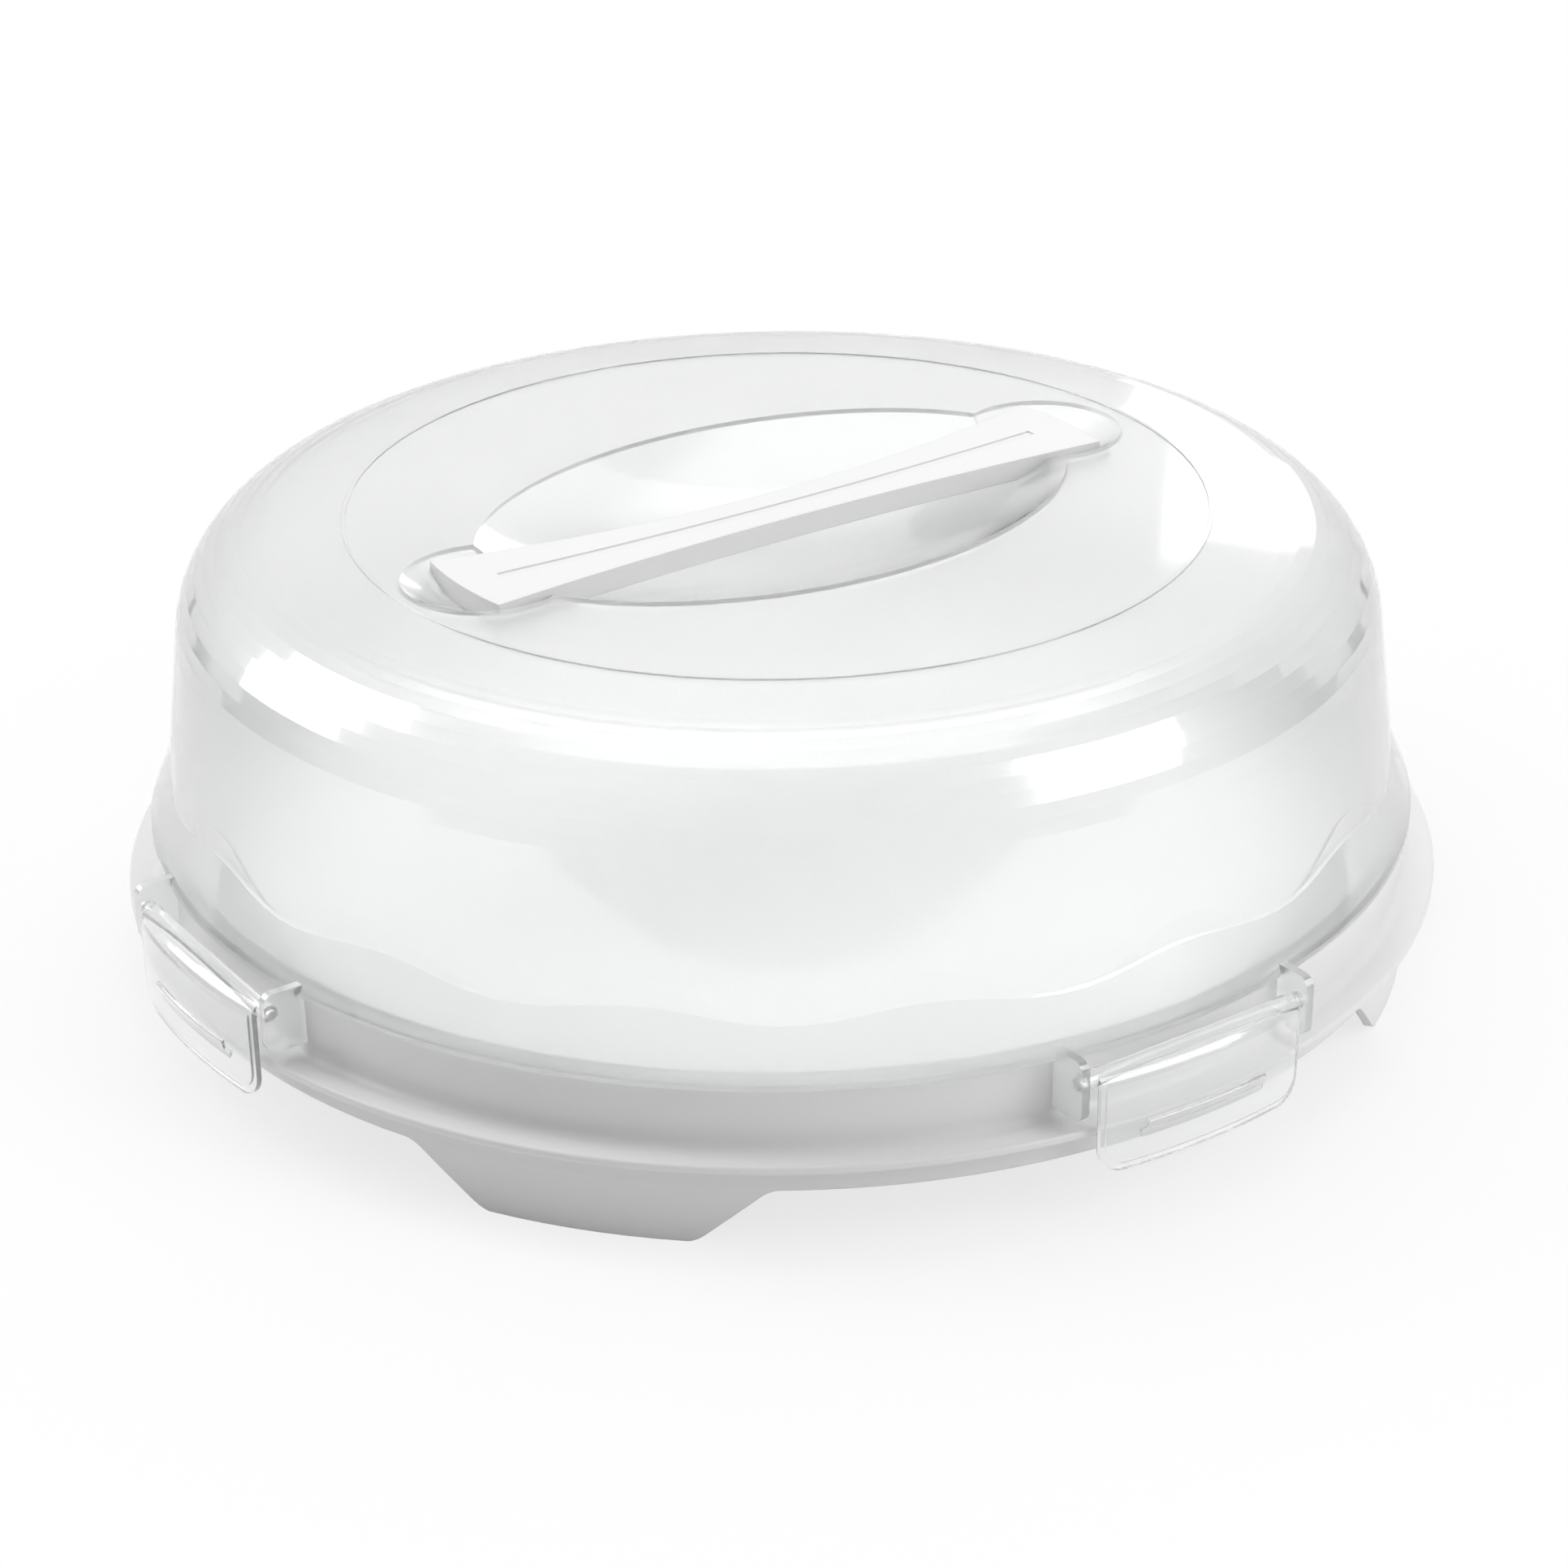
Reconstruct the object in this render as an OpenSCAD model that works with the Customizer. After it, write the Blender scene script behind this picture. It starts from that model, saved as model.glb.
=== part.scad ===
// Round cake carrier: a white tray on four feet, a clear domed lid that lifts off,
// a white carry handle across the lid, and four clear clips that hook under the tray's lip.
// The z axis is the axis of the tray and z = 0 is the table. The handle lies along x.

/* [Tray] */
// Radius of the tray's outer lip
lip_r = 180; // [172:1:190]
// Height of the lip's top face over the table
lip_z = 26; // [22:0.5:32]
// Thickness of the lip at its edge
lip_t = 2.2; // [1.8:0.1:3]
// How far the lip stands out from the skirt under it
lip_out = 5.6; // [4:0.2:7]
// Wall thickness of the tray
tray_t = 2.2; // [1.8:0.1:3]
// Depth of the skirt under the lip's lower face
skirt_h = 7.6; // [5:0.2:10]
// Width of the lip from its edge in to the upright rim that carries the lid
shelf_w = 9; // [8:0.2:12]
// Top of the upright rim over the lip's top face
rim_h = 16.4; // [14:0.2:19]
// Width of the gutter between the rim and the raised plate that the cake stands on
gutter_w = 18.8; // [12:0.2:36]
// Height of the gutter's floor over the lip's top face
gutter_up = 1; // [0.4:0.1:2]
// Rise of the cake plate over the gutter round it
plate_rise = 2.6; // [1.5:0.1:5]
// Width of the slope from the plate down to the gutter
plate_run = 2.4; // [2:0.2:5]
// Radius of the stiffening ring under the plate
stiff_r = 92; // [70:1:120]
// Depth of the stiffening ring under the plate
stiff_h = 6; // [3:0.5:9]

/* [Feet] */
// Number of feet
foot_n = 4; // [3:1:6]
// Half angle of a foot at the table
foot_half = 8.8; // [6:0.2:14]
// Half angle over which a foot's S-shaped side runs out into the skirt
foot_flare = 6.4; // [4:0.2:9]
// Height over the skirt's lower edge at which the feet start to lean in
foot_bend = 1; // [0.6:0.1:3]
// How far the feet lean in from the skirt to the table
foot_lean = 2; // [0.5:0.25:3.5]
// Angle by which the tray is turned under the lid
tray_turn = -5.5; // [-15:0.5:15]

/* [Lid] */
// Wall thickness of the lid
lid_t = 1.8; // [1.4:0.1:2.4]
// Height of the lid's flat top over its seat on the rim
crown_h = 80.5; // [70:0.5:95]
// Width from the foot of the wall in to the fine bead round the flat top
crown_w = 53.1; // [48:0.1:56]
// Height of the fine bead
bead_h = 0.4; // [0.2:0.1:0.8]
// Half width of the fine bead
bead_w = 0.6; // [0.4:0.1:1]
// Slope of the top outside the bead
crown_slope = 3.5; // [2:0.25:6]
// Radius of the rounded shoulder
shoulder_r = 28; // [18:1:30]
// Distance from the rim's outer face in to the foot of the lid's wall
wall_in = 2.3; // [1.6:0.1:4]
// Lean of the lid's wall from upright
wall_lean = 7.3; // [5:0.1:9]
// How far the skirt's lower edge stands out over the rim
edge_out = 1.6; // [1:0.1:2.4]
// Height of the skirt's upright edge band
edge_h = 1.4; // [0.8:0.1:2.4]
// Lean of the skirt from upright
skirt_lean = 23.9; // [20:0.1:28]
// Number of scallops round the foot of the wall
wave_n = 15; // [10:1:24]
// Depth of the scallops from crest to hollow
wave_depth = 1.4; // [0.8:0.1:2.2]
// Angle of the first scallop's crest
wave_turn = 20; // [0:1:24]
// Depth of the collar that drops inside the tray's rim
collar_h = 4; // [2.5:0.5:7]

/* [Handle] */
// Half length of the carry handle, to the middle of its rounded ends
bar_l = 98.1; // [92:0.1:100]
// Half width of the handle at its ends
bar_end = 17.8; // [14:0.2:22]
// Half width of the handle at its waist
bar_waist = 9; // [7:0.2:12]
// Thickness of the handle
bar_t = 6; // [4.5:0.25:7]
// Sag of the handle's middle below its ends
bar_sag = 2; // [1:0.25:3]
// Half length of the finger bowl under the handle
bowl_l = 88; // [78:1:90]
// Half width of the finger bowl
bowl_w = 58; // [45:1:66]
// Depth of the finger bowl
bowl_d = 22; // [18:0.5:28]
// Radius of the dished hollow under and past each end of the handle
nick_r = 22; // [19:0.5:24]
// Depth of the dished hollow
nick_d = 7; // [5:0.25:8]
// Distance of the hollow's middle from the handle's end
nick_in = 8.1; // [6:0.1:10]
// Radius of the handle's snap pegs
peg_r = 2.5; // [1.8:0.1:3]
// Distance of the pegs from the handle's end
peg_in = 8.7; // [7:0.1:11]
// Half spacing of the two pegs of an end
peg_y = 9; // [7:0.2:10]
// How far a peg's snap head stands out round the peg
peg_head = 0.9; // [0.5:0.1:1.2]
// Height of a peg's snap head
peg_head_h = 1.4; // [1:0.1:2]
// Width of the fine groove along the handle
groove_w = 2.6; // [1.5:0.1:4]
// Depth of the fine groove
groove_d = 0.35; // [0.2:0.05:0.6]
// Distance of the groove's end from the handle's end
groove_in = 12; // [8:0.5:20]

/* [Clips] */
// Half width of a clip
clip_w = 31.2; // [26:0.2:34]
// How far a clip's outer face stands out over the lip's edge
clip_out = 3; // [2.9:0.1:4]
// Wall thickness of a clip
clip_t = 1.8; // [1.4:0.1:2]
// Height of a clip's lower edge over the table
clip_z = 14; // [10:0.5:16]
// Radius of the clip's rounded shoulder
clip_bend = 4.4; // [3:0.2:5]
// Radius of a clip's lower corners
clip_corner = 7; // [4:0.5:10]
// Width of the stepped border at a clip's sides
border_w = 1.2; // [0.8:0.1:2]
// Width of the stepped border at a clip's foot
border_h = 2.2; // [1.2:0.1:3]
// Depth of the stepped border
border_d = 0.5; // [0.3:0.05:0.8]
// Height of the grip's upper edge over the clip's foot
grip_up = 13; // [9:0.5:16]
// Height of the grip
grip_h = 5.5; // [3:0.5:8]
// Half width of the grip
grip_w = 18.5; // [12:0.5:24]
// How far the grip stands out from the clip
grip_out = 0.8; // [0.4:0.1:1.5]
// Height of the hook
hook_h = 3.2; // [2:0.2:5]
// Half width of the hook
hook_w = 19; // [12:0.5:24]
// Distance of the hinge axis out from the rim
hinge_out = 5.3; // [4.8:0.1:6]
// Height of the hinge axis below the lid's seat
hinge_drop = 3; // [2.8:0.1:4]
// Radius of the hinge barrel
barrel_r = 2.2; // [2:0.1:2.5]
// Radius of the moulded hinge pins
pin_r = 1.4; // [1.1:0.1:1.6]
// Gap from a clip's side to the lugs beside it
lug_clear = 2.8; // [1.6:0.1:4]
// Thickness of a lug, an upright plate
lug_t = 2.4; // [2.2:0.1:4]
// Distance of a lug's outer edge out from the hinge axis
lug_out = 2.5; // [2.2:0.1:4]
// Height of a lug's foot over the lip
lug_rise = 3.5; // [2:0.1:6]
// Height of a lug's top over the lid's seat
lug_up = 3.5; // [2:0.1:5]
// Radius of a lug's outer corners
lug_corner = 3; // [1:0.2:3.4]
// Wall left behind the blind bore of a lug
lug_end = 0.8; // [0.6:0.1:1.2]

/* [Fits] */
// Gap between the lid's seat and the rim's top
seat_gap = 0.05; // [0:0.01:0.2]
// Gap between the collar and the rim's inner face
collar_gap = 0.6; // [0.3:0.1:1]
// Gap between the lugs and the rim's outer face
lug_gap = 0.6; // [0.3:0.1:1]
// Gap round a hinge pin in its bore
pin_gap = 0.2; // [0.15:0.05:0.3]
// Gap between a hinge barrel's end and its lug
end_gap = 0.4; // [0.2:0.05:0.6]
// Gap round the handle in its seat
bar_gap = 0.25; // [0.1:0.05:0.4]
// Gap round a peg in its hole
peg_gap = 0.2; // [0.1:0.05:0.3]
// Gap between the open hook and the lip's edge
hook_gap = 0.5; // [0.3:0.1:0.8]
// Gap between the hook's top and the lip's lower face
hook_drop = 0.6; // [0.4:0.1:1.2]

/* [Hidden] */
$fn = 96;
fine = 360;
finest = 1440;
far = 400;
lap = 1;

// Roundings of the tray: lip and rim edges, inner corners and all the rest
lip_round = 0.7;
rim_round = 0.6;
inner_round = 3;
tray_round = 1.5;

// Heights over the table
lip_low = lip_z - lip_t;
skirt_low = lip_low - skirt_h;
rim_top = lip_z + rim_h;
gutter_z = lip_z + gutter_up;
plate_z = gutter_z + plate_rise;
seat_z = rim_top + seat_gap;
edge_top = seat_z + edge_h;
crown_z = seat_z + crown_h;
hinge_z = seat_z - hinge_drop;

// Radii of the tray
skirt_r = lip_r - lip_out;
rim_r = lip_r - shelf_w;
rim_in = rim_r - tray_t;
plate_r = rim_in - gutter_w;

// Radii of the lid, where its wall's line meets the crown's and the skirt's
collar_r = rim_in - collar_gap;
wall_r = rim_r - wall_in;
edge_r = rim_r + edge_out;
bead_r = wall_r - crown_w;
wall_tan = tan(wall_lean);
skirt_tan = tan(skirt_lean);
crown_tan = tan(crown_slope);
corner_r = (wall_r - wall_tan * (crown_h + crown_tan * bead_r)) / (1 - wall_tan * crown_tan);
corner_drop = crown_tan * (corner_r - bead_r);
wave_r = wall_r - wall_tan * (edge_r - wall_r + edge_h * skirt_tan) / (skirt_tan - wall_tan);
skirt_in = wave_r - 4;

// Finger bowl, a patch with one radius along the handle and another across it
bowl_rx = (bowl_l * bowl_l + bowl_d * bowl_d) / (2 * bowl_d);
bowl_ry = (bowl_w * bowl_w + bowl_d * bowl_d) / (2 * bowl_d);

// Handle
bar_cut = bar_end - bar_waist;
bar_side_r = (bar_l * bar_l + bar_cut * bar_cut) / (2 * bar_cut);
bar_arch_r = (bar_l * bar_l + bar_sag * bar_sag) / (2 * bar_sag);
peg_x = bar_l - peg_in;
peg_drop = bar_sag * (1 - pow(peg_x / bar_l, 2));
peg_top = crown_z - peg_drop - bar_t;
nick_ball_r = (nick_r * nick_r + nick_d * nick_d) / (2 * nick_d);

// Clips
clip_r = lip_r + clip_out;
clip_in = clip_r - clip_t;
clip_round = 1.5;
hook_r = lip_r + hook_gap;
hook_top = lip_low - hook_drop;
grip_top = clip_z + grip_up;
grip_round = 0.4;
clip_turns = [0, 90, 180, 270];

// Hinges: the arm ends inside the barrel, and the lugs reach back into the lid's wall
hinge_x = rim_r + hinge_out;
arm_top = hinge_z + 0.9 * barrel_r;
arm_in = hinge_x + 0.4 * barrel_r;
lug_y = clip_w + lug_clear;
lug_x = hinge_x + lug_out;
lug_in = edge_r - 10;
lug_low = lip_z + lug_rise;
lug_top = seat_z + lug_up;

function unit(v) = v / norm(v);

// Corner b of an outline, between its neighbours a and c, rounded to radius r
function rounded(a, b, c, r) =
    let (u = unit(a - b), v = unit(c - b), half = acos(u * v) / 2)
    let (reach = r / tan(half), o = b + unit(u + v) * r / sin(half))
    let (s = b + u * reach - o, e = b + v * reach - o, turn = 180 - 2 * half)
    let (n = max(2, ceil(turn / 8)))
    [for (i = [0 : n]) o + (s * sin(turn * (1 - i / n)) + e * sin(turn * i / n)) / sin(turn)];

// Closed outline through corners [x, y, radius]
function outline(p) =
    [for (i = [0 : len(p) - 1])
        let (a = p[(i + len(p) - 1) % len(p)], b = p[i], c = p[(i + 1) % len(p)])
        each (b[2] > 0
            ? rounded([a[0], a[1]], [b[0], b[1]], [c[0], c[1]], b[2])
            : [[b[0], b[1]]])];

// Solid turned about the z axis from an outline of corners [radius, height, rounding]
module turned(corners) {
    rotate_extrude() polygon(outline(corners));
}

// Upright ring between two radii and two heights, its upper edges rounded
module ring(inner, outer, low, high, round) {
    turned([[inner, low, 0], [outer, low, 0], [outer, high, round], [inner, high, round]]);
}

// Bar of the given outline [y, z, rounding], running out along x
module outward(corners) {
    rotate([90, 0, 90]) linear_extrude(far) polygon(outline(corners));
}

// All that lies out along x and within half to either side
module across(half) {
    translate([0, -half, 0]) cube([far, 2 * half, far]);
}

// Tray: cake plate, gutter, upright rim, lip and a skirt that leans in down to the table
module tray_shell() {
    low = gutter_z - tray_t;
    in = skirt_r - tray_t;
    bend_z = skirt_low + foot_bend;
    turned([
        [0, plate_z - tray_t, 0],
        [plate_r - plate_run / 2, plate_z - tray_t, tray_round],
        [plate_r + plate_run / 2, low, tray_round],
        [in, low, tray_round],
        [in, bend_z, 0],
        [in - foot_lean, 0, 0],
        [skirt_r - foot_lean, 0, 0],
        [skirt_r, bend_z, 0],
        [skirt_r, lip_low, tray_round],
        [lip_r, lip_low, lip_round],
        [lip_r, lip_z, lip_round],
        [rim_r, lip_z, inner_round],
        [rim_r, rim_top, rim_round],
        [rim_in, rim_top, rim_round],
        [rim_in, gutter_z, inner_round],
        [plate_r + plate_run, gutter_z, tray_round],
        [plate_r, plate_z, tray_round],
        [0, plate_z, 0]]);
}

// Outline of a foot and its S-shaped sides, seen from outside
module foot_window() {
    half = skirt_r * sin(foot_half);
    run = skirt_r * sin(foot_half + foot_flare);
    bend = (run - half) / 2;
    tip = run + bend;
    past = lap / 3;
    edge = skirt_low + past;
    outward([
        [-tip, edge + lap, 0],
        [-tip, edge, 0],
        [-run, edge, bend],
        [-half, -past, bend],
        [half, -past, bend],
        [run, edge, bend],
        [tip, edge, 0],
        [tip, edge + lap, 0]]);
}

// What is cut away under the skirt between the feet
module between_feet() {
    difference() {
        translate([0, 0, -lap]) cylinder(r = lip_r, h = skirt_low + lap);
        for (i = [0 : foot_n - 1]) rotate(45 + i * 360 / foot_n) foot_window();
    }
}

module base_tray() {
    under = plate_z - tray_t;
    color("white") rotate(tray_turn) difference() {
        union() {
            tray_shell();
            ring(stiff_r - tray_t / 2, stiff_r + tray_t / 2, under - stiff_h, under + tray_t / 2, 0);
        }
        between_feet();
    }
}

// Wall, shoulder and crown of the lid, filled, drawn in by t
module dome(t) {
    top = crown_z - t;
    turned([
        [0, seat_z, 0],
        [wall_r - t, seat_z, 0],
        [corner_r - t, top - corner_drop, shoulder_r - t],
        [bead_r, top, 0],
        [0, top, 0]]);
}

// Scalloped column that trims the foot of the wall, drawn in by t
module scallops(t) {
    step = 360 / wave_n / 10;
    mid = wave_r - wave_depth / 2 - t;
    linear_extrude(crown_z + lap)
        polygon([for (a = [0 : step : 360 - step / 2])
            (mid + wave_depth / 2 * cos(wave_n * (a - wave_turn))) * [cos(a), sin(a)]]);
}

// The leaning skirt under the scallops, filled, drawn in by t
module skirt(t) {
    rise = (edge_r - skirt_in) / skirt_tan;
    turned([
        [0, seat_z, 0],
        [edge_r - t, seat_z, 0],
        [edge_r - t, edge_top, 0],
        [skirt_in - t, edge_top + rise, 0],
        [0, edge_top + rise, 0]]);
}

module lid_body(t) {
    intersection() {
        dome(t);
        scallops(t);
    }
    skirt(t);
}

// The finger bowl, turned about a line over the handle and grown by t
module bowl(t) {
    translate([0, 0, crown_z - bowl_d + bowl_ry])
    rotate([0, 90, 0])
    rotate_extrude()
    intersection() {
        translate([bowl_ry - bowl_rx, 0]) circle(r = bowl_rx + t, $fn = fine);
        translate([0, -far / 2]) square([far, far]);
    }
}

// Waisted plan of the handle, its ends rounded about the lid's axis, grown by t
module bar_plan(t) {
    difference() {
        intersection() {
            circle(r = bar_l + t, $fn = finest);
            square([2 * far, 2 * (bar_end + t)], center = true);
        }
        for (s = [-1, 1])
            translate([0, s * (bar_waist + bar_side_r)]) circle(r = bar_side_r - t, $fn = finest);
    }
}

// Round log across the handle, over whose underside the handle sags
module arch(r) {
    translate([0, 0, crown_z - bar_sag + bar_arch_r])
    rotate([90, 0, 0])
    cylinder(r = r, h = 4 * bar_end, center = true, $fn = 2 * finest);
}

// Hollows in the lid's top for fingers and handle, grown by t
module top_hollows(t) {
    bowl(t);
    intersection() {
        translate([0, 0, crown_z - far / 4]) linear_extrude(far / 2) bar_plan(bar_gap + t);
        arch(bar_arch_r + bar_t + t);
    }
    for (s = [-1, 1])
        translate([s * (bar_l - nick_in), 0, crown_z + nick_ball_r - nick_d])
            sphere(r = nick_ball_r + t, $fn = fine);
}

// The four places of the handle's snap pegs
module at_pegs() {
    for (x = [-1, 1], y = [-1, 1]) translate([x * peg_x, y * peg_y, peg_top]) children();
}

// One lug of a clip's hinge, an upright plate that stands out from the lid's skirt
module lug() {
    difference() {
        translate([0, lug_y + lug_t, 0]) rotate([90, 0, 0]) linear_extrude(lug_t)
            polygon(outline([
                [lug_in, lug_low, 0],
                [lug_x, lug_low, lug_corner],
                [lug_x, lug_top, lug_corner],
                [lug_in, lug_top, 0]]));
        cylinder(r = rim_r + lug_gap, h = seat_z);
    }
}

module lugs() {
    for (a = clip_turns, s = [0, 1]) rotate(a) mirror([0, s, 0]) lug();
}

// The bores of all hinges, each blind in its two lugs
module pin_bores() {
    for (a = clip_turns)
        rotate(a)
        translate([hinge_x, 0, hinge_z])
        rotate([90, 0, 0])
        cylinder(r = pin_r + pin_gap, h = 2 * (lug_y + lug_t - lug_end), center = true);
}

// What the lid holds: the room over the cake, less the undersides of the hollows
module lid_room() {
    difference() {
        intersection() {
            lid_body(lid_t);
            translate([0, 0, seat_z + lid_t]) cylinder(r = lip_r, h = crown_h);
        }
        top_hollows(lid_t);
    }
    translate([0, 0, seat_z - collar_h - lap])
        cylinder(r = collar_r - lid_t, h = collar_h + lid_t + 2 * lap);
}

module lid_dome() {
    color("whitesmoke", 0.4) difference() {
        union() {
            lid_body(0);
            lugs();
            ring(bead_r - bead_w, bead_r + bead_w, crown_z - lap, crown_z + bead_h, bead_h / 2);
            translate([0, 0, seat_z - collar_h]) cylinder(r = collar_r, h = collar_h + lap);
        }
        lid_room();
        top_hollows(0);
        pin_bores();
        at_pegs() cylinder(r = peg_r + peg_gap, h = 3 * lid_t, center = true);
    }
}

module carry_handle() {
    color("white") {
        difference() {
            intersection() {
                translate([0, 0, crown_z - 2 * bar_t]) linear_extrude(3 * bar_t) bar_plan(0);
                arch(bar_arch_r + bar_t);
            }
            arch(bar_arch_r);
            intersection() {
                translate([groove_in - bar_l, -groove_w / 2, 0])
                    cube([2 * (bar_l - groove_in), groove_w, far]);
                arch(bar_arch_r + groove_d);
            }
        }
        at_pegs() {
            translate([0, 0, -lid_t - peg_gap - peg_head_h]) {
                cylinder(r = peg_r, h = lid_t + peg_gap + peg_head_h + bar_t / 2);
                cylinder(r = peg_r + peg_head, h = peg_head_h);
            }
        }
    }
}

// Face of a clip seen from outside, drawn in by side at its sides and by foot at its foot
module clip_face(side, foot) {
    outward([
        [side - clip_w, clip_z + foot, clip_corner - side],
        [clip_w - side, clip_z + foot, clip_corner - side],
        [clip_w - side, arm_top + side, clip_round],
        [side - clip_w, arm_top + side, clip_round]]);
}

// Plate that follows the lip and bends in over a shoulder to the hinge, with its stepped border
module clip_plate() {
    low = arm_top - clip_t;
    difference() {
        turned([
            [clip_in, clip_z, 0],
            [clip_r, clip_z, 0],
            [clip_r, arm_top, clip_bend],
            [arm_in, arm_top, 0],
            [arm_in, low, 0],
            [clip_in, low, clip_bend - clip_t]]);
        difference() {
            ring(clip_r - border_d, clip_r + lap, 0, arm_top, 0);
            clip_face(border_w, border_h);
        }
    }
}

// Hook inside the plate, level on top and sloped below
module hook() {
    intersection() {
        turned([
            [clip_in + clip_t / 2, hook_top, 0],
            [hook_r, hook_top, 0],
            [hook_r, hook_top - hook_h / 3, 0],
            [clip_in + clip_t / 2, hook_top - hook_h, 0]]);
        across(hook_w);
    }
}

// Grip outside the plate, steep above and sloped below
module grip() {
    intersection() {
        turned([
            [clip_r - border_d, grip_top, 0],
            [clip_r - border_d, grip_top - grip_h, 0],
            [clip_r + grip_out, grip_top - grip_out, grip_round]]);
        across(grip_w);
    }
}

module clip() {
    intersection() {
        union() {
            clip_plate();
            hook();
            grip();
        }
        clip_face(0, 0);
    }
    translate([hinge_x, 0, hinge_z]) rotate([90, 0, 0]) {
        cylinder(r = barrel_r, h = 2 * (lug_y - end_gap), center = true);
        cylinder(r = pin_r, h = 2 * (lug_y + lug_t - lug_end - end_gap), center = true);
    }
}

module placed_clip(i) {
    color("whitesmoke", 0.5) rotate(clip_turns[i]) clip();
}

module clip_right() { placed_clip(0); }
module clip_back() { placed_clip(1); }
module clip_left() { placed_clip(2); }
module clip_front() { placed_clip(3); }

base_tray();
lid_dome();
carry_handle();
clip_right();
clip_back();
clip_left();
clip_front();
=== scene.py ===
"""Round cake carrier: white footed tray, milky clear domed lid with a white handle, four clear clips."""

import math

import bpy
from mathutils import Matrix, Vector


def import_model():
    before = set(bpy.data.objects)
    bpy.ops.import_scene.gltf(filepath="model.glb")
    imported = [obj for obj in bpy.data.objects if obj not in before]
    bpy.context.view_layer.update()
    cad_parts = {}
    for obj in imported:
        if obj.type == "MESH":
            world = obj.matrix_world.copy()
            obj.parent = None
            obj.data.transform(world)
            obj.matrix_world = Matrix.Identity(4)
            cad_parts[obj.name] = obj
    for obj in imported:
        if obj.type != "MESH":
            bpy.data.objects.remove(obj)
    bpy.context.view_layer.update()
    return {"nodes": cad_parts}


# Camera, as fitted to the photograph: metres and degrees about the tray's axis
PHOTO_PX = 1932
FOCAL_PX = 4483
SENSOR_MM = 36
CAMERA_AZIMUTH = -34.2
CAMERA_BACK = 0.9063
CAMERA_SIDE = 0.0009
CAMERA_UP = 0.4865
CAMERA_PITCH = 26.34
CAMERA_ROLL = -0.75

# The world's level as light
WORLD_LEVEL = 0.32
# Share of the floor's real shading that is seen near the object, and the radii between which it fades out
FLOOR_SHADOW = 0.25
SHADOW_NEAR = 0.16
SHADOW_FAR = 0.32
FLOOR_RADIUS = 30
FLOOR_DROP = 0.0001
# Lamps, in watts, metres and degrees; azimuths count from the camera's side, anticlockwise seen from above
LAMP_AIM_Z = 0.06
SOFTBOXES = {
    # name: azimuth, elevation, distance, width, height, tilt, power
    "right_box": (63, 31, 1.2, 0.58, 0.85, -20, 6.3),
    "left_box": (-105, 33, 1.2, 0.58, 0.85, 20, 6.3),
    "back_box": (161, 18, 1.5, 0.4, 0.4, 0, 0.7),
    "top_box": (180, 75, 1.3, 1.2, 1.2, 0, 9),
}
# Lamps that leave no highlight
MATT_BOXES = ("top_box",)
# Dim studio walls that only gloss sees, and the white table between them, about the camera's axis
ROOM_HALF = 3
ROOM_BACK = 1.2
ROOM_GREY = 0.2
ROOM_LOW = 0.001
TABLE_HALF = 0.79
TABLE_FRONT = 0.44

# Surfaces: colours, noise scales, roughness from and to, and lengths in metres
SHARP_DEG = 32
WHITE = (0.8, 0.8, 0.8, 1)
WHITE_ROUGH = (0.30, 0.38)
WHITE_IOR = 1.49
CLEAR = (0.985, 0.99, 0.99, 1)
COAT_ROUGH = 0.05
# The body's low IOR lets most light through, and the coat over it has the gloss.
# Neither rough pair crosses 0.274, where the denoiser draws contour lines.
LID_LOOK = {"milk": 0.05, "ior": 1.2, "coat_ior": 1.75, "rough": (0.30, 0.37), "grain_depth": 0.00003}
CLIP_LOOK = {"milk": 0.1, "ior": 1.25, "coat_ior": 1.5, "rough": (0.10, 0.16), "grain_depth": 0.00001}
PAPER = (0.85, 0.85, 0.85, 1)
PAPER_ROUGH = 0.9

WHITE_NODES = ("base_tray", "carry_handle")
CLIP_NODES = ("clip_right", "clip_back", "clip_left", "clip_front")


def new_material(name):
    """A node material with only a shader and its output; returns the material, its tree and the shader."""
    material = bpy.data.materials.new(name)
    material.use_nodes = True
    tree = material.node_tree
    tree.nodes.clear()
    output = tree.nodes.new("ShaderNodeOutputMaterial")
    shader = tree.nodes.new("ShaderNodeBsdfPrincipled")
    tree.links.new(shader.outputs["BSDF"], output.inputs["Surface"])
    return material, tree, shader


def place(tree):
    """Object coordinates in metres, the same for every pose."""
    return tree.nodes.new("ShaderNodeTexCoord").outputs["Object"]


def noise(tree, where, scale, detail=3.0, roughness=0.5):
    node = tree.nodes.new("ShaderNodeTexNoise")
    node.inputs["Scale"].default_value = scale
    node.inputs["Detail"].default_value = detail
    node.inputs["Roughness"].default_value = roughness
    tree.links.new(where, node.inputs["Vector"])
    return node.outputs["Fac"]


def ramp(tree, value, low, high):
    """A value from 0 to 1 stretched to low and high."""
    node = tree.nodes.new("ShaderNodeMapRange")
    node.inputs["From Min"].default_value = 0.3
    node.inputs["From Max"].default_value = 0.7
    node.inputs["To Min"].default_value = low
    node.inputs["To Max"].default_value = high
    tree.links.new(value, node.inputs["Value"])
    return node.outputs["Result"]


def shade(colour, level):
    """A colour at a share of its level."""
    return tuple(c * level for c in colour[:3]) + (1,)


def tint(tree, value, dark, light):
    node = tree.nodes.new("ShaderNodeMix")
    node.data_type = "RGBA"
    node.inputs["A"].default_value = dark
    node.inputs["B"].default_value = light
    tree.links.new(value, node.inputs["Factor"])
    return node.outputs["Result"]


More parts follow.
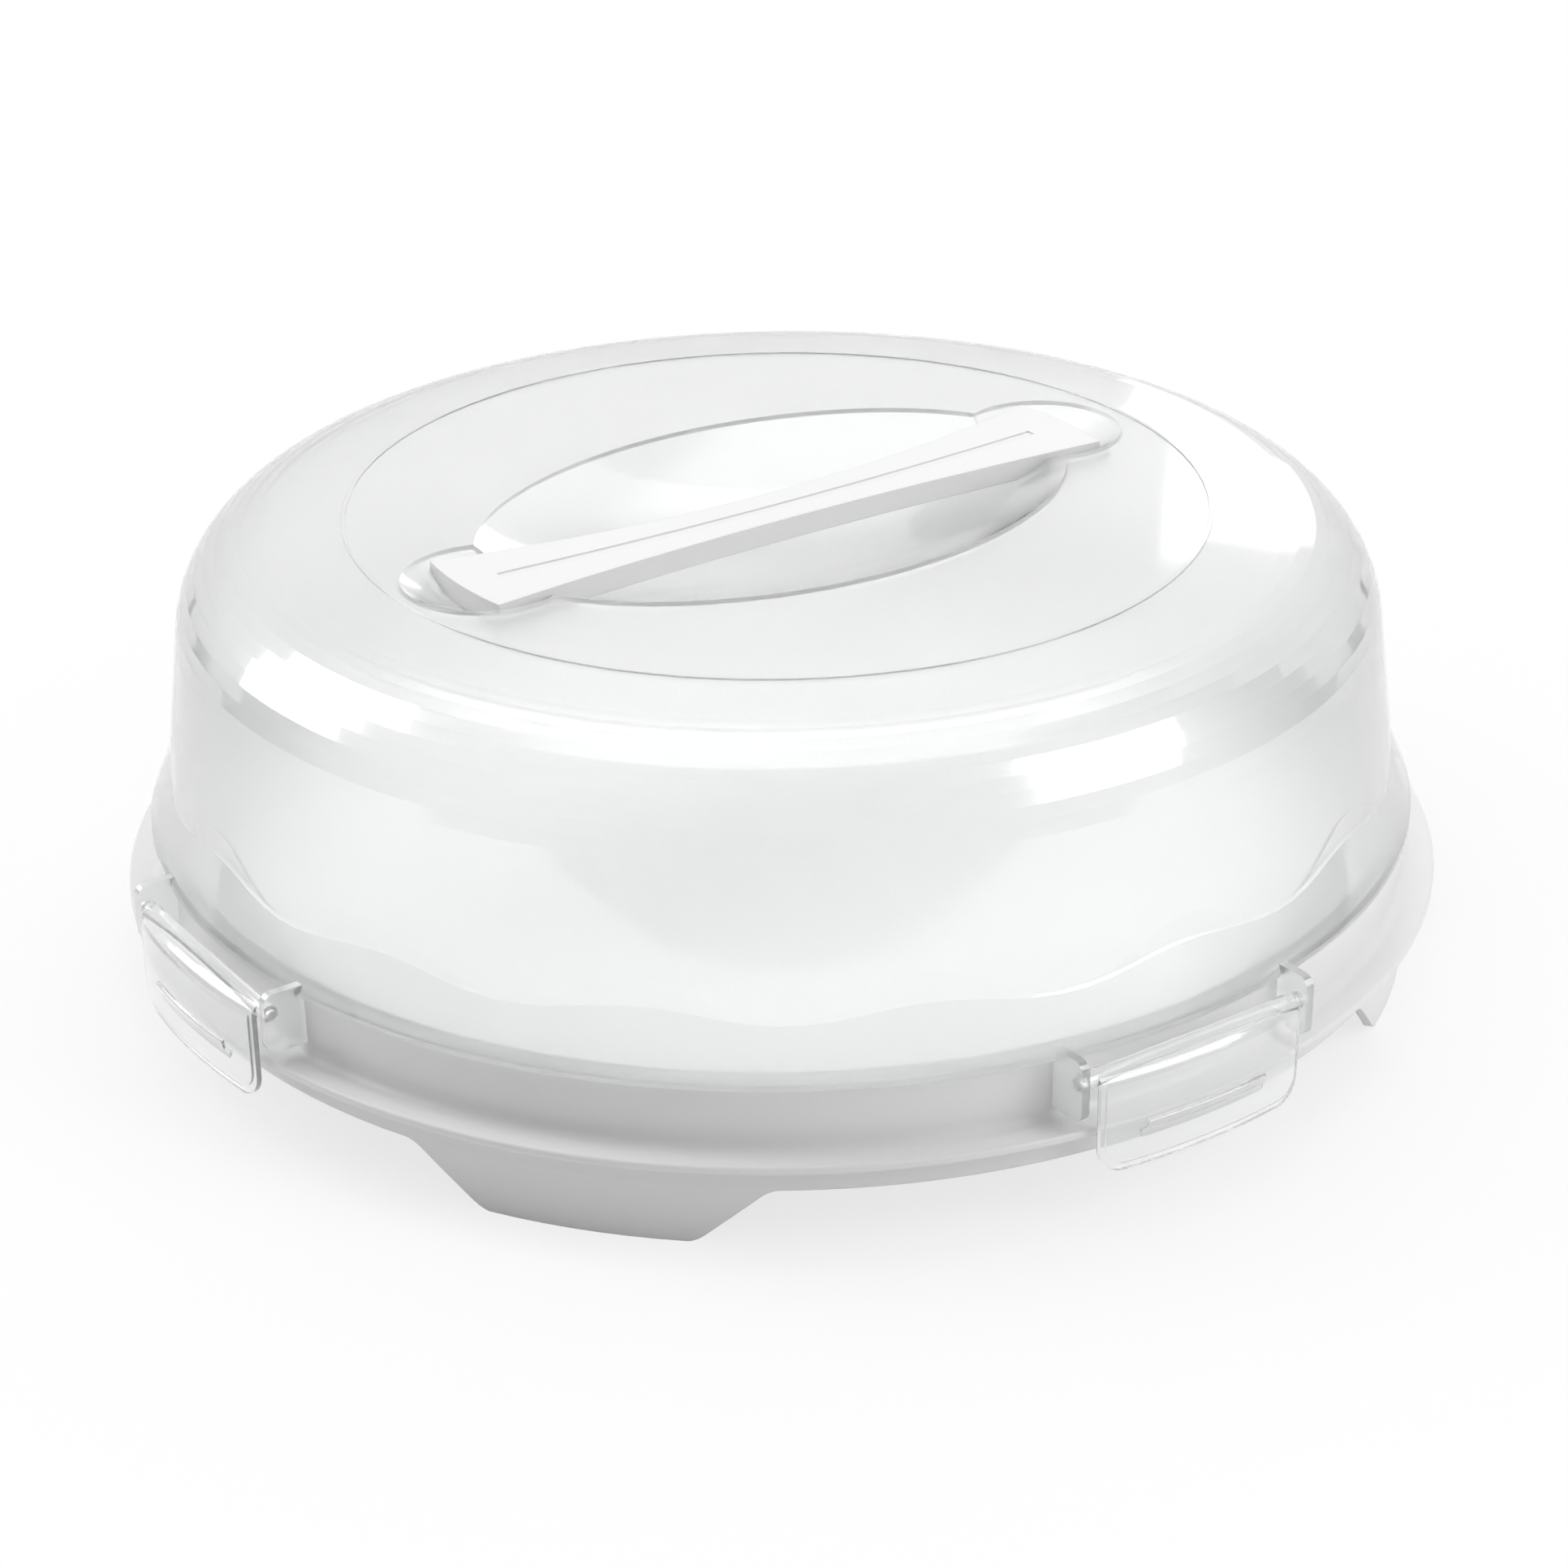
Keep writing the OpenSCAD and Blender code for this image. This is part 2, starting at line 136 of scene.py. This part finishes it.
def relief(tree, value, depth, edge):
    """Bump of the given depth in metres over edges softened to a radius."""
    soft = tree.nodes.new("ShaderNodeBevel")
    soft.samples = 4
    soft.inputs["Radius"].default_value = edge
    bump = tree.nodes.new("ShaderNodeBump")
    bump.inputs["Strength"].default_value = 1
    bump.inputs["Distance"].default_value = depth
    tree.links.new(value, bump.inputs["Height"])
    tree.links.new(soft.outputs["Normal"], bump.inputs["Normal"])
    return bump.outputs["Normal"]


def white_plastic():
    """Satin white moulded plastic with a fine grain."""
    material, tree, shader = new_material("white_plastic")
    where = place(tree)
    grain = noise(tree, where, 1800, 2)
    cloud = noise(tree, where, 14, 3)
    tree.links.new(tint(tree, cloud, shade(WHITE, 0.975), WHITE), shader.inputs["Base Color"])
    tree.links.new(ramp(tree, grain, *WHITE_ROUGH), shader.inputs["Roughness"])
    tree.links.new(relief(tree, grain, 0.00002, 0.0005), shader.inputs["Normal"])
    shader.inputs["IOR"].default_value = WHITE_IOR
    return material


def clear_plastic(name, milk, ior, coat_ior, rough, grain_depth):
    """Clear plastic with milk in it: glossy outside, and light that goes through is scattered."""
    material, tree, shader = new_material(name)
    where = place(tree)
    grain = noise(tree, where, 1400, 2)
    cloud = noise(tree, where, 20, 3)
    tree.links.new(tint(tree, cloud, shade(CLEAR, 0.985), CLEAR), shader.inputs["Base Color"])
    tree.links.new(ramp(tree, cloud, *rough), shader.inputs["Roughness"])
    tree.links.new(relief(tree, grain, grain_depth, 0.0003), shader.inputs["Normal"])
    shader.inputs["IOR"].default_value = ior
    shader.inputs["Transmission Weight"].default_value = 1 - milk
    shader.inputs["Coat Weight"].default_value = 1
    shader.inputs["Coat Roughness"].default_value = COAT_ROUGH
    shader.inputs["Coat IOR"].default_value = coat_ior
    return material


def paper():
    """Pale floor: white to the camera, to gloss and through clear plastic, with the object's shadow left in."""
    material, tree, shader = new_material("pale_floor")
    where = place(tree)
    speck = noise(tree, where, 40, 2)
    tree.links.new(tint(tree, speck, shade(PAPER, 0.99), PAPER), shader.inputs["Base Color"])
    shader.inputs["Roughness"].default_value = PAPER_ROUGH
    white = tree.nodes.new("ShaderNodeEmission")
    reach = tree.nodes.new("ShaderNodeVectorMath")
    reach.operation = "LENGTH"
    tree.links.new(where, reach.inputs[0])
    plain = tree.nodes.new("ShaderNodeMapRange")
    plain.inputs["From Min"].default_value = SHADOW_NEAR
    plain.inputs["From Max"].default_value = SHADOW_FAR
    plain.inputs["To Min"].default_value = 1 - FLOOR_SHADOW
    tree.links.new(reach.outputs["Value"], plain.inputs["Value"])
    share = tree.nodes.new("ShaderNodeMapRange")
    tree.links.new(plain.outputs["Result"], share.inputs["To Max"])
    tree.links.new(seen_rays(tree), share.inputs["Value"])
    mix = tree.nodes.new("ShaderNodeMixShader")
    tree.links.new(share.outputs["Result"], mix.inputs["Fac"])
    tree.links.new(shader.outputs["BSDF"], mix.inputs[1])
    tree.links.new(white.outputs["Emission"], mix.inputs[2])
    tree.links.new(mix.outputs["Shader"], tree.nodes["Material Output"].inputs["Surface"])
    return material


def total(tree, a, b):
    """Sum of two values, at most 1."""
    node = tree.nodes.new("ShaderNodeMath")
    node.operation = "ADD"
    node.use_clamp = True
    tree.links.new(a, node.inputs[0])
    tree.links.new(b, node.inputs[1])
    return node.outputs["Value"]


def dress(node, material):
    """Gives a CAD node its material and smooths what isn't a real edge."""
    thing = frame["nodes"][node]
    thing.data.materials.clear()
    thing.data.materials.append(material)
    thing.data.shade_smooth()
    thing.data.set_sharp_from_angle(angle=math.radians(SHARP_DEG))


def floor():
    bpy.ops.mesh.primitive_circle_add(vertices=96, radius=FLOOR_RADIUS, fill_type="NGON",
                                      location=(0, 0, -FLOOR_DROP))
    thing = bpy.context.object
    thing.name = "floor"
    thing.data.materials.append(paper())


def seen_rays(tree):
    """1 for what the camera sees, also in gloss and through clear plastic, and 0 for plain light."""
    rays = tree.nodes.new("ShaderNodeLightPath")
    seen = total(tree, rays.outputs["Is Camera Ray"], rays.outputs["Is Glossy Ray"])
    return total(tree, seen, rays.outputs["Is Transmission Ray"])


def world():
    """White where it is seen, and a plain, dim level as light."""
    scene_world = bpy.data.worlds.new("studio")
    scene_world.use_nodes = True
    tree = scene_world.node_tree
    back = tree.nodes["Background"]
    back.inputs["Color"].default_value = (1, 1, 1, 1)
    level = tree.nodes.new("ShaderNodeMapRange")
    level.inputs["To Min"].default_value = WORLD_LEVEL
    level.inputs["To Max"].default_value = 1
    tree.links.new(seen_rays(tree), level.inputs["Value"])
    tree.links.new(level.outputs["Result"], back.inputs["Strength"])
    bpy.context.scene.world = scene_world


def room():
    """Dim walls and ceiling, open at the back above the table, and a floor round it: seen only in gloss."""
    far, back, top = ROOM_HALF, ROOM_BACK, ROOM_HALF
    side, front, low = TABLE_HALF, -TABLE_FRONT, ROOM_LOW
    corners = [(-far, -far, low), (far, -far, low), (far, back, low), (-far, back, low),
               (-far, -far, top), (far, -far, top), (far, back, top), (-far, back, top),
               (-side, front, low), (side, front, low), (side, back, low), (-side, back, low)]
    faces = [(0, 1, 5, 4), (1, 2, 6, 5), (3, 0, 4, 7), (4, 5, 6, 7),
             (0, 8, 9, 1), (1, 9, 10, 2), (0, 3, 11, 8)]
    mesh = bpy.data.meshes.new("studio_room")
    mesh.from_pydata(corners, [], faces)
    material, tree, shader = new_material("studio_grey")
    shader.inputs["Base Color"].default_value = (0, 0, 0, 1)
    shader.inputs["Roughness"].default_value = 1
    shader.inputs["Emission Strength"].default_value = 1
    grey = (ROOM_GREY, ROOM_GREY, ROOM_GREY, 1)
    cloud = noise(tree, place(tree), 2)
    tree.links.new(tint(tree, cloud, shade(grey, 0.95), grey), shader.inputs["Emission Color"])
    mesh.materials.append(material)
    thing = bpy.data.objects.new("studio_room", mesh)
    thing.rotation_euler.z = math.radians(CAMERA_AZIMUTH)
    thing.visible_camera = False
    thing.visible_diffuse = False
    thing.visible_transmission = False
    thing.visible_shadow = False
    bpy.context.scene.collection.objects.link(thing)


def softbox(name, azimuth, elevation, distance, width, height, tilt, power):
    """Rectangular area lamp that looks at the lid, with its top leaning over by tilt."""
    a, e = math.radians(azimuth + CAMERA_AZIMUTH), math.radians(elevation)
    back = Vector((math.sin(a) * math.cos(e), -math.cos(a) * math.cos(e), math.sin(e)))
    lamp = bpy.data.lights.new(name, "AREA")
    lamp.shape = "RECTANGLE"
    lamp.size = width
    lamp.size_y = height
    lamp.energy = power
    thing = bpy.data.objects.new(name, lamp)
    thing.visible_glossy = name not in MATT_BOXES
    aim = back.to_track_quat("Z", "Y").to_matrix().to_4x4()
    spot = Matrix.Translation(Vector((0, 0, LAMP_AIM_Z)) + back * distance)
    thing.matrix_world = spot @ aim @ Matrix.Rotation(math.radians(tilt), 4, "Z")
    bpy.context.scene.collection.objects.link(thing)


def camera():
    data = bpy.data.cameras.new("photo_camera")
    data.sensor_width = SENSOR_MM
    data.lens = FOCAL_PX / PHOTO_PX * SENSOR_MM
    thing = bpy.data.objects.new("photo_camera", data)
    turn = Matrix.Rotation(math.radians(CAMERA_AZIMUTH), 4, "Z")
    lean = Matrix.Rotation(math.radians(90 - CAMERA_PITCH), 4, "X")
    roll = Matrix.Rotation(math.radians(CAMERA_ROLL), 4, "Z")
    spot = Matrix.Translation((CAMERA_SIDE, -CAMERA_BACK, CAMERA_UP))
    thing.matrix_world = turn @ spot @ lean @ roll
    bpy.context.scene.collection.objects.link(thing)
    bpy.context.scene.camera = thing


def studio():
    floor()
    world()
    room()
    for name, numbers in SOFTBOXES.items():
        softbox(name, *numbers)
    view = bpy.context.scene.view_settings
    view.view_transform = "Standard"


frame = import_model()

white = white_plastic()
for name in WHITE_NODES:
    dress(name, white)
dress("lid_dome", clear_plastic("lid_plastic", **LID_LOOK))
clip_plastic = clear_plastic("clip_plastic", **CLIP_LOOK)
for name in CLIP_NODES:
    dress(name, clip_plastic)

camera()
studio()
